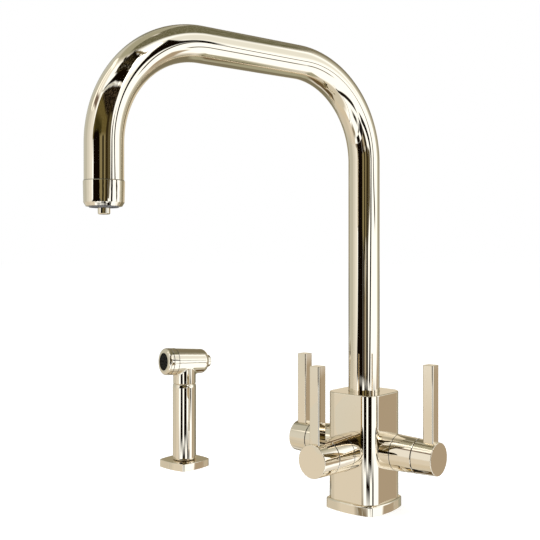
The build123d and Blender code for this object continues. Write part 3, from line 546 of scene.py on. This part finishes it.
# name, shade, second shade of a mottled card or None, softness in degrees, then the card's outline:
# degrees right of the camera's direction, and its low and high edge in degrees over the middle
CARDS = (
    ("white_front", WHITE, None, 3, ((-57, -85, 62), (20, -85, 66), (60, -85, 62),
                                     (107, -42, 50))),
    ("left_near", (1.08, 1.1, 1.1), None, 6, ((-78, -12, 60), (-54, -12, 60))),
    ("left_mid", (0.86, 0.88, 0.85), None, 6, ((-94, -30, 58), (-76, -30, 60))),
    ("left_far", PALE, None, 6, ((-158, -30, 56), (-94, -30, 58))),
    ("edge_left", (0.3, 0.31, 0.25), None, 4, ((-170, -45, 60), (-144, -45, 60))),
    ("left_low", (0.92, 0.88, 0.8), None, 3, ((-96, -75, -12), (-57, -75, -13))),
    ("left_low_far", (0.79, 0.76, 0.68), None, 5, ((-150, -60, -11), (-90, -60, -11))),
    ("bright_high", BRIGHT, None, 5, ((52, 19, 46), (95, 19, 46))),
    ("right_pale", (0.75, 0.77, 0.72), None, 4, ((106, -10, 48), (120, -10, 48))),
    ("right_mid", (0.45, 0.45, 0.36), None, 5, ((118, -42, 52), (134, -42, 52))),
    ("right_far", (0.26, 0.24, 0.17), None, 5, ((133, -42, 54), (202, -42, 54))),
    ("sand_right", SAND, None, 2, ((91, -25, -12), (99, -25, -11.5), (103, -25, -8),
                                   (115, -25, -8))),
    ("sand_pale", (0.66, 0.6, 0.5), None, 2, ((115, -25, -8), (127, -25, -8))),
    ("under_right", (0.47, 0.48, 0.37), None, 3, ((97, -60, -43), (125, -58, -46),
                                                  (168, -50, -30))),
    ("under_line", (0.12, 0.11, 0.06), None, 0.6, ((120, -52, -49), (136, -51.5, -48.5))),
    ("sand_top", (0.8, 0.72, 0.57), None, 2, ((148, -1, 17), (180, -1, 17))),
    ("straw_top", (0.4, 0.36, 0.25), None, 1, ((182, -1, 17), (212, -1, 17))),
    ("floor_low", (0.8, 0.78, 0.7), None, 5, ((-180, -90, -60), (180, -90, -60))),
    ("floor_left", (0.84, 0.78, 0.66), None, 6, ((-125, -66, -42), (-62, -62, -44))),
    ("floor_dark", (0.14, 0.1, 0.05), None, 3, ((-180, -78, -54), (-128, -78, -54))),
    ("floor_back", (0.17, 0.12, 0.06), None, 3, ((128, -74, -50), (184, -74, -50))),
    ("stripe_left", (0.24, 0.18, 0.15), None, 1.5, ((-86, 31, 38), (-60, 30, 38))),
    ("ceiling_left", CEILING, GREY, 4, ((-180, 57, 90), (-90, 58, 90), (-60, 64, 90),
                                        (0, 72, 90))),
    ("ceiling_right", (0.17, 0.17, 0.1), GREY, 4, ((-45, 72, 90), (0, 67, 90), (30, 61, 90),
                                                   (90, 50.5, 90), (180, 50, 90))),
    ("olive", OLIVE, (0.21, 0.18, 0.07), 1.5, ((-55, 10, 16), (-50, 10, 30), (-46, 10, 41),
                                               (-20, 9, 42), (0, 6, 36), (24, 6, 30),
                                               (42, 5, 24))),
    ("olive_dark", (0.055, 0.045, 0.012), None, 3, ((-46, 12, 27), (-26, 12, 24), (-8, 12, 20))),
    ("clutter", BLACK, BROWN, 1.5, ((-38, 37, 42), (-20, 33, 43), (0, 25, 41), (20, 19, 35),
                                    (30, 12, 32), (43, 12, 26))),
    ("clutter_high", BLACK, TAN, 1.5, ((-30, 56, 61), (-20, 52, 64), (-5, 48, 67), (5, 46, 67),
                                       (15, 43, 63), (25, 40, 55), (38, 34, 48))),
    ("line_high", PALE, None, 0.6, ((-56, 40.5, 42), (-30, 43, 44.6), (-10, 42.6, 44),
                                    (4, 40, 41))),
    ("band_high", BLACK, None, 0.8, ((-48, 42.5, 44), (-30, 45, 48), (-14, 44.5, 51), (0, 43, 50),
                                     (12, 39, 48), (26, 34, 42), (41, 27, 33))),
    ("arc_left", BLACK, GREY, 0.8, ((-36, 65, 67.5), (-20, 60, 65), (-4, 61, 63))),
    ("arc_main", BLACK, None, 0.6, ((-6, 67, 69.5), (5, 63, 65), (16, 58, 60), (26, 51, 53),
                                    (34, 44.5, 46.5), (42, 41, 43), (52, 38, 40))),
    ("arc_brown", TAN, BROWN, 0.7, ((12, 62, 64), (26, 55, 58), (38, 46, 49), (50, 36, 38))),
    ("arc_low", BLACK, GREY, 0.6, ((-30, 53, 54), (-8, 54, 56), (8, 51, 53), (22, 45, 47),
                                   (40, 34, 36))),
    ("black_left", BLACK, None, 1.5, ((-59, -14, -10), (-52, -14, -5), (-49, -14, 14),
                                      (-46, -14, 16), (-24, -14, 17), (-17, -14, 13),
                                      (-11, -14, 3))),
    ("umber_mid", UMBER, None, 1.0, ((-11, -14, 3), (3, -14, 3))),
    ("brown_low", (0.2, 0.16, 0.12), None, 0.8, ((-2, -14, -5), (4.5, -14, -3))),
    ("straw_low", STRAW, None, 1.0, ((4.5, -14, 1), (11.5, -14, 1))),
    ("straw_mid", (0.31, 0.27, 0.14), None, 1.2, ((-15, 2, 13), (-5, 1, 14), (17, 1, 13))),
    ("line_mid", BLACK, None, 0.7, ((-2, 0, 13), (6, 0, 13))),
    ("umber_right", UMBER, None, 1.0, ((12, -14, -4), (15, -14, 4), (16.5, -14, 24),
                                       (28, -12, 26))),
    ("olive_right", (0.14, 0.12, 0.06), None, 1.0, ((28, 1, 20), (34, 3, 19), (43, 6, 17))),
    ("line_right", BLACK, None, 0.8, ((34, -24, -12), (39.5, -20, -4), (45, -13, 5), (50, -4, 14),
                                      (55, 4, 17))),
    ("streak", BLACK, None, 0.8, ((59, 28, 44), (62, 20, 38), (65, 11, 31), (68, 7, 23),
                                  (72, 6, 15))),
    ("streak_low", UMBER, None, 0.6, ((72, 6.5, 10), (77.5, 3.8, 7), (86, 2.6, 5))),
    ("band_low", BLACK, None, 1.6, ((-52, -15, -11), (-40, -17, -11), (-18, -17, -11))),
    ("band_mid", BLACK, None, 1.4, ((-18, -24, -21), (0, -24, -21), (14, -24, -21))),
    ("spray_white", WHITE, None, 0.5, ((-58, -21, -12.6), (64, -21, -12.6))),
    ("spray_left", BLACK, None, 0.9, ((-40, -21, -12.4), (-15, -21, -12.4))),
    ("spray_middle", BLACK, None, 0.9, ((-1, -21, -12.4), (29, -21, -12.4))),
    ("body_right", UMBER, None, 1.5, ((69, -17, -12.6), (84, -17, -12.6))),
    ("stripes_left", (0.3, 0.25, 0.17), PALE, 4, ((-60, -36, -20), (-40, -40, -23))),
    ("dark_low", BLACK, GREY, 3, ((-3, -40, -28), (15, -40, -27))),
    ("strip", BLACK, UMBER, 1.6, ((33, -58, -20), (46, -56, -20))),
    ("strip_foot", BLACK, None, 1.2, ((36, -60, -54), (50, -58, -54))),
    ("line_low", BLACK, None, 0.4, ((-60, -43.5, -42.5), (-40, -47.5, -46.3), (-20, -51.5, -50.3),
                                    (0, -53.6, -52.4), (25, -54.6, -53.4), (60, -51.6, -50.8))),
)
DOME_MIDDLE, DOME_RADIUS = (-0.03, -0.1, 0.2), 1.6
LAYER_STEP = 0.004                      # each card lies this much inside the one before
CARD_STEP, INNER_ROWS = 3.0, 7          # degrees from column to column, rows between the fades
MOST_ACROSS, MOST_UP = 0.4, 0.45        # largest share of a card that either of its fades takes
LOWEST, HIGHEST = -89.0, 89.5           # degrees, so that no card closes over a pole
MOTTLE_SCALE, MOTTLE_DETAIL, MOTTLE_SPAN = 32.0, 4.0, (0.53, 0.66)


def soft_glow(name, tone, second):
    """An emitting card whose edges fade out, mottled with a second shade if there is one."""
    material = bpy.data.materials.new(name)
    material.use_nodes = True
    tree = material.node_tree
    tree.nodes.clear()
    light = tree.nodes.new("ShaderNodeEmission")
    light.inputs["Color"].default_value = (*tone, 1.0)
    if second:
        noise = tree.nodes.new("ShaderNodeTexNoise")
        noise.inputs["Scale"].default_value = MOTTLE_SCALE
        noise.inputs["Detail"].default_value = MOTTLE_DETAIL
        where = tree.nodes.new("ShaderNodeTexCoord").outputs["Object"]
        tree.links.new(where, noise.inputs["Vector"])
        ramp = tree.nodes.new("ShaderNodeValToRGB")
        for stop, place, paint in zip(ramp.color_ramp.elements, MOTTLE_SPAN, (tone, second)):
            stop.position = place
            stop.color = (*paint, 1.0)
        tree.links.new(noise.outputs["Fac"], ramp.inputs["Fac"])
        tree.links.new(ramp.outputs["Color"], light.inputs["Color"])
    clear = tree.nodes.new("ShaderNodeBsdfTransparent")
    cover = tree.nodes.new("ShaderNodeAttribute")
    cover.attribute_name = "cover"
    mix = tree.nodes.new("ShaderNodeMixShader")
    out = tree.nodes.new("ShaderNodeOutputMaterial")
    tree.links.new(cover.outputs["Fac"], mix.inputs["Fac"])
    tree.links.new(clear.outputs[0], mix.inputs[1])
    tree.links.new(light.outputs[0], mix.inputs[2])
    tree.links.new(mix.outputs[0], out.inputs["Surface"])
    return material


def spread(outline, soft):
    """Columns of a card at even steps, with its ends drawn out to fade."""
    first, last = outline[0], outline[-1]
    fade = min(soft, MOST_ACROSS * (last[0] - first[0]))
    stops = [first[0] - fade, first[0] + fade]
    while stops[-1] + CARD_STEP < last[0] - fade:
        stops.append(stops[-1] + CARD_STEP)
    stops += [last[0] - fade, last[0] + fade]
    for stop in stops:
        after = next((k for k in range(1, len(outline)) if outline[k][0] >= stop),
                     len(outline) - 1)
        (x0, low0, high0), (x1, low1, high1) = outline[after - 1], outline[after]
        share = min(1.0, max(0.0, (stop - x0) / (x1 - x0)))
        yield stop, low0 + (low1 - low0) * share, high0 + (high1 - high0) * share


def card(layer, name, tone, second, soft, outline):
    """A curved card on the dome round the object, which only polished surfaces see."""
    facing = bpy.context.scene.faucet_studio.azimuth
    radius = DOME_RADIUS - LAYER_STEP * layer
    columns = list(spread(outline, soft))
    points, faces, cover = [], [], []
    for number, (across, low, high) in enumerate(columns):
        turn = facing + math.radians(across)
        edge = min(soft, MOST_UP * (high - low))
        inside = [low + edge + (high - low - 2 * edge) * k / (INNER_ROWS - 1)
                  for k in range(INNER_ROWS)]
        rows = [low - edge, *inside, high + edge]
        for row, over in enumerate(rows):
            rise = math.radians(max(LOWEST, min(HIGHEST, over)))
            out = Vector((math.cos(rise) * math.sin(turn), -math.cos(rise) * math.cos(turn),
                          math.sin(rise)))
            points.append(Vector(DOME_MIDDLE) + radius * out)
            ends = number in (0, len(columns) - 1) or row in (0, len(rows) - 1)
            cover.append(0.0 if ends else 1.0)
        if number:
            here, before = number * len(rows), (number - 1) * len(rows)
            faces += [(here + k, here + k + 1, before + k + 1, before + k)
                      for k in range(len(rows) - 1)]
    mesh = bpy.data.meshes.new(name)
    mesh.from_pydata(points, [], faces)
    mesh.attributes.new("cover", "FLOAT", "POINT").data.foreach_set("value", cover)
    mesh.materials.append(soft_glow(name, tone, second))
    made = link(bpy.data.objects.new("card_" + name, mesh))
    for ray in ("camera", "diffuse", "shadow", "transmission", "volume_scatter"):
        setattr(made, "visible_" + ray, False)


class FAUCET_OT_studio(bpy.types.Operator):
    """Lay the floor and set the lamps, the cards and the room's light"""
    bl_idname = "faucet.studio"
    bl_label = "Studio"

    def execute(self, context):
        studio = context.scene.faucet_studio
        context.scene.view_settings.view_transform = "Standard"
        self.floor()
        self.room(context, studio.ambient)
        for layer, row in enumerate(CARDS):
            card(layer, *row)
        self.lamp("key", studio.key, KEY_PLACE)
        self.lamp("fill", studio.fill, FILL_PLACE)
        return {"FINISHED"}

    def floor(self):
        """The floor lies at the deck's surface, with a hole for each holder's shank."""
        s = sizes()
        work = bmesh.new()
        rings = [((0, 0), FLOOR_RADIUS, FLOOR_SIDES), ((0, 0), SHANK_HOLE, HOLE_SIDES),
                 ((-s.spray_spacing, -s.spray_forward), HOLDER_HOLE, HOLE_SIDES)]
        for (x, y), radius, segments in rings:
            place = Matrix.Translation((x, y, 0))
            bmesh.ops.create_circle(work, radius=radius, segments=segments, matrix=place)
        bmesh.ops.triangle_fill(work, use_beauty=True, edges=work.edges[:], normal=(0, 0, 1))
        mesh = bpy.data.meshes.new("floor")
        work.to_mesh(mesh)
        work.free()
        material = bpy.data.materials.new("floor_white")
        material.use_nodes = True
        tree = material.node_tree
        tree.nodes.clear()
        dull = tree.nodes.new("ShaderNodeBsdfDiffuse")
        dull.inputs["Color"].default_value = (*[FLOOR_DULL] * 3, 1.0)
        glare = tree.nodes.new("ShaderNodeEmission")
        tree.links.new(seen_rays(tree), glare.inputs["Strength"])
        glare.inputs["Color"].default_value = (*[FLOOR_GLOW] * 3, 1.0)
        both = tree.nodes.new("ShaderNodeAddShader")
        out = tree.nodes.new("ShaderNodeOutputMaterial")
        tree.links.new(dull.outputs[0], both.inputs[0])
        tree.links.new(glare.outputs[0], both.inputs[1])
        tree.links.new(both.outputs[0], out.inputs["Surface"])
        mesh.materials.append(material)
        floor = link(bpy.data.objects.new("floor", mesh))
        floor.visible_glossy = False

    def room(self, context, ambient):
        """A white room: in full for the camera and reflections, and dimmer as a light."""
        world = bpy.data.worlds.new("room")
        context.scene.world = world
        world.use_nodes = True
        tree = world.node_tree
        ground = tree.nodes["Background"]
        ground.inputs["Color"].default_value = (1.0, 1.0, 1.0, 1.0)
        level = tree.nodes.new("ShaderNodeMapRange")
        level.inputs["To Min"].default_value = ambient
        level.inputs["To Max"].default_value = 1.0
        tree.links.new(seen_rays(tree), level.inputs["Value"])
        tree.links.new(level.outputs["Result"], ground.inputs["Strength"])

    def lamp(self, name, power, place):
        data = bpy.data.lights.new(name, "AREA")
        data.shape = "DISK"
        data.size = LAMP_SIZE
        data.energy = power
        lamp = link(bpy.data.objects.new(name, data))
        lamp.location = place
        aim = Vector(LAMP_AIM) - Vector(place)
        lamp.rotation_euler = aim.to_track_quat("-Z", "Y").to_euler()


# ---- Pieces -----------------------------------------------------------------------------------
class FAUCET_OT_spout(bpy.types.Operator):
    """Bend the spout's tube and polish the outlet"""
    bl_idname = "faucet.spout"
    bl_label = "Spout"

    def execute(self, context):
        s = sizes()
        values = {"Reach": s.reach, "Run height": s.run_height, "Run drop": s.run_drop,
                  "Foot": s.tube_foot, "End": s.tube_end, "Column bend": s.column_bend,
                  "Outlet bend": s.outlet_bend, "Tube radius": s.tube_r}
        finish = bpy.data.materials["polished_nickel"]
        tube = grow("spout_tube_skin", spout_tree(), values, finish)
        tube.data.transform(Matrix.Rotation(math.radians(-90) - s.spout_turn, 4, "Z"))
        tube.data.shade_smooth()
        crisp_rims(tube.data)
        wall = tube.modifiers.new("Wall", "SOLIDIFY")
        wall.thickness = s.tube_wall
        wall.offset = -1.0
        keep(tube, "spout_tube")
        for node in ("aerator_housing", "filter_nozzle", "aerator_insert"):
            smooth_skin(node)
        return {"FINISHED"}


def soft_square(half, bulge, corner_r):
    """Points of a square with gently bulged sides that run into rounded corners."""
    flat = half - bulge
    big = (flat * flat + bulge * bulge) / (2 * bulge)
    inset = big - half
    spot = (math.sqrt(2 * (big - corner_r) ** 2 - inset * inset) - inset) / 2
    turn_in = math.atan2(spot, spot + inset)
    quarter = []
    for k in range(SIDE_STEPS):
        turn = turn_in * (2 * k / SIDE_STEPS - 1)
        quarter.append((big * math.cos(turn) - inset, big * math.sin(turn)))
    for k in range(CORNER_STEPS):
        turn = turn_in + (math.radians(90) - 2 * turn_in) * k / CORNER_STEPS
        quarter.append((spot + corner_r * math.cos(turn), spot + corner_r * math.sin(turn)))
    for cos, sin in ((1, 0), (0, 1), (-1, 0), (0, -1)):
        for x, y in quarter:
            yield x * cos - y * sin, x * sin + y * cos


def body_skin():
    """The body's polished outside, with soft upright corners and the socket for the spout."""
    s = sizes()
    low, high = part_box("mixer_body")[0].z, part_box("mixer_body")[1].z
    bore = s.tube_r + SOCKET_GAP
    rings = [(s.body_half, low)]
    for step in range(EDGE_STEPS + 1):
        turn = math.radians(90) * step / EDGE_STEPS
        rings.append((s.body_half - s.body_edge * (1 - math.cos(turn)),
                      high - s.body_edge * (1 - math.sin(turn))))
    work = bmesh.new()
    rows = [[work.verts.new((x, y, z)) for x, y in
             soft_square(half, s.body_bulge, s.body_corner + half - s.body_half)]
            for half, z in rings]
    turns = [math.atan2(point.co.y, point.co.x) for point in rows[0]]
    for z in (high, high - SOCKET_DEPTH):
        rows.append([work.verts.new((bore * math.cos(turn), bore * math.sin(turn), z))
                     for turn in turns])
    for lower, upper in zip(rows, rows[1:]):
        for k in range(len(turns)):
            work.faces.new((lower[k], lower[k - 1], upper[k - 1], upper[k]))
    work.faces.new(rows[0])
    work.faces.new(rows[-1])
    bmesh.ops.recalc_face_normals(work, faces=work.faces)
    shade(work)
    mesh = bpy.data.meshes.new("mixer_body_skin")
    work.to_mesh(mesh)
    work.free()
    piece = link(bpy.data.objects.new("mixer_body_skin", mesh))
    even_normals(piece)
    keep(piece, "mixer_body")


def head_place():
    """The place of the spray's head, with z along its axis to the front."""
    s = sizes()
    place = Matrix.Translation((-s.spray_spacing, -s.spray_forward, s.head_height))
    place @= Matrix.Rotation(-s.spray_turn, 4, "Z") @ Matrix.Rotation(-s.head_rise, 4, "X")
    return place @ Matrix.Rotation(math.radians(90), 4, "X")


class FAUCET_OT_body(bpy.types.Operator):
    """Polish the body, its plinth and the valves"""
    bl_idname = "faucet.body"
    bl_label = "Body and valves"

    def execute(self, context):
        body_skin()
        smooth_skin("base_plinth")
        for valve in VALVES:
            for piece in ("collar", "shroud", "hub", "lever"):
                smooth_skin(f"{valve}_{piece}")
        return {"FINISHED"}


class FAUCET_OT_spray(bpy.types.Operator):
    """Polish the side spray and give its face its nozzles"""
    bl_idname = "faucet.spray"
    bl_label = "Side spray"

    def execute(self, context):
        for node in ("spray_escutcheon", "spray_handle", "spray_head", "spray_band",
                     "spray_face_collar", "spray_rose", "button_bezel", "spray_button"):
            smooth_skin(node)
        values = {"Lip radius": sizes().nozzle_lip_r, "Face": sizes().rose_face}
        for number, (radius, count) in enumerate(ROSE_RINGS):
            values[f"Ring {number + 1}"] = radius / 1000
            values[f"Count {number + 1}"] = count
        lips = grow("rose_nozzles", nozzle_tree(len(ROSE_RINGS)), values,
                    bpy.data.materials["spray_rubber"])
        lips.data.transform(head_place())
        add(lips, "spray", "spray_rubber")
        self.spring()
        return {"FINISHED"}

    def spring(self):
        """The button's spring, as a smooth skin with a mesh of its own; the press joint's axis is
        read but not used.
        """
        spring = smooth_skin("button_spring")
        press = next(joint for joint in frame["record"]["behaviour"]["joints"]
                     if joint["name"] == "spray_press")
        axis = Vector(press["axis"]).normalized()
        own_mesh(spring)


class FAUCET_OT_seams(bpy.types.Operator):
    """Lay a dark ring in each groove between the turned sleeves, as painted shade for the groove's
    shadow
    """
    bl_idname = "faucet.seams"
    bl_label = "Seams"

    def execute(self, context):
        s = sizes()
        self.tree = seam_tree()
        for valve in VALVES:
            for node in ("shroud", "hub"):
                low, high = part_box(f"{valve}_{node}")
                middle, radius = (low + high) / 2, (high.z - low.z) / 2
                along = 0 if abs(middle.x) > abs(middle.y) else 1
                middle[along] = low[along] if middle[along] > 0 else high[along]
                turn = Matrix.Rotation(math.radians(90), 4, "XY"[1 - along])
                self.ring(f"{valve}_{node}_seam", radius - GROOVE_SHADE_DEPTH * s.seam,
                          Matrix.Translation(middle) @ turn, "faucet_body")
        low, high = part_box("aerator_housing")
        place = Matrix.Translation((*((low + high) / 2).xy, high.z))
        self.ring("outlet_seam", s.tube_r, place, "spout")
        for name, along in (("band_seam", s.band_back), ("collar_seam", s.band_front)):
            place = head_place() @ Matrix.Translation((0, 0, along))
            self.ring(name, s.band_r - GROOVE_SHADE_DEPTH * s.seam, place, "spray")
        return {"FINISHED"}

    def ring(self, name, radius, place, body):
        values = {"Radius": radius, "Thickness": sizes().seam}
        # Each ring, in black rubber, is painted shade standing in for the groove's shadow
        seam = grow(name, self.tree, values, bpy.data.materials["black_rubber"])
        seam.data.transform(place)
        add(seam, body, "black_rubber")


class FAUCET_OT_threads(bpy.types.Operator):
    """Cut the threads of the two holders' shanks where they stand free"""
    bl_idname = "faucet.threads"
    bl_label = "Threads"

    def execute(self, context):
        s = sizes()
        tree = thread_tree()
        brass = bpy.data.materials["brass"]
        places = {"shank": (0, 0, 0), "holder": (-s.spray_spacing, -s.spray_forward, 0)}
        for name, node, crest, low_stretch in SHANKS:
            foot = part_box(node)[0].z + THREAD_END
            for end, start, stretch in (("low", foot, low_stretch),
                                        ("high", THREAD_HIGH_START, THREAD_HIGH)):
                values = {"Root radius": crest - s.thread_depth, "Depth": s.thread_depth,
                          "Pitch": s.thread_pitch, "Length": stretch, "Low": start}
                ridge = grow(f"{name}_thread_{end}", tree, values, brass)
                ridge.data.transform(Matrix.Translation(places[name]))
                add(ridge, "faucet_body", "brass")
        return {"FINISHED"}


class FAUCET_PT_panel(bpy.types.Panel):
    """The faucet's steps in the sidebar"""
    bl_idname = "FAUCET_PT_panel"
    bl_label = "Kitchen faucet"
    bl_space_type = "VIEW_3D"
    bl_region_type = "UI"
    bl_category = "Faucet"

    def draw(self, context):
        for step in STEPS:
            self.layout.operator(step.bl_idname)
        for group in (context.scene.faucet_sizes, context.scene.faucet_colours,
                      context.scene.faucet_studio):
            box = self.layout.box()
            for name in group.__annotations__:
                box.prop(group, name)


STEPS = (FAUCET_OT_finishes, FAUCET_OT_camera, FAUCET_OT_studio, FAUCET_OT_spout, FAUCET_OT_body,
         FAUCET_OT_spray, FAUCET_OT_seams, FAUCET_OT_threads)
GROUPS = {"faucet_sizes": FaucetSizes, "faucet_colours": FaucetColours,
          "faucet_studio": StudioSettings}


def register():
    for kind in (*GROUPS.values(), *STEPS, FAUCET_PT_panel):
        bpy.utils.register_class(kind)
    for name, kind in GROUPS.items():
        setattr(bpy.types.Scene, name, bpy.props.PointerProperty(type=kind))


def unregister():
    for name in GROUPS:
        delattr(bpy.types.Scene, name)
    for kind in reversed((*GROUPS.values(), *STEPS, FAUCET_PT_panel)):
        bpy.utils.unregister_class(kind)


def main():
    register()
    for step in STEPS:
        group, name = step.bl_idname.split(".")
        getattr(getattr(bpy.ops, group), name)()


if __name__ == "__main__":
    main()
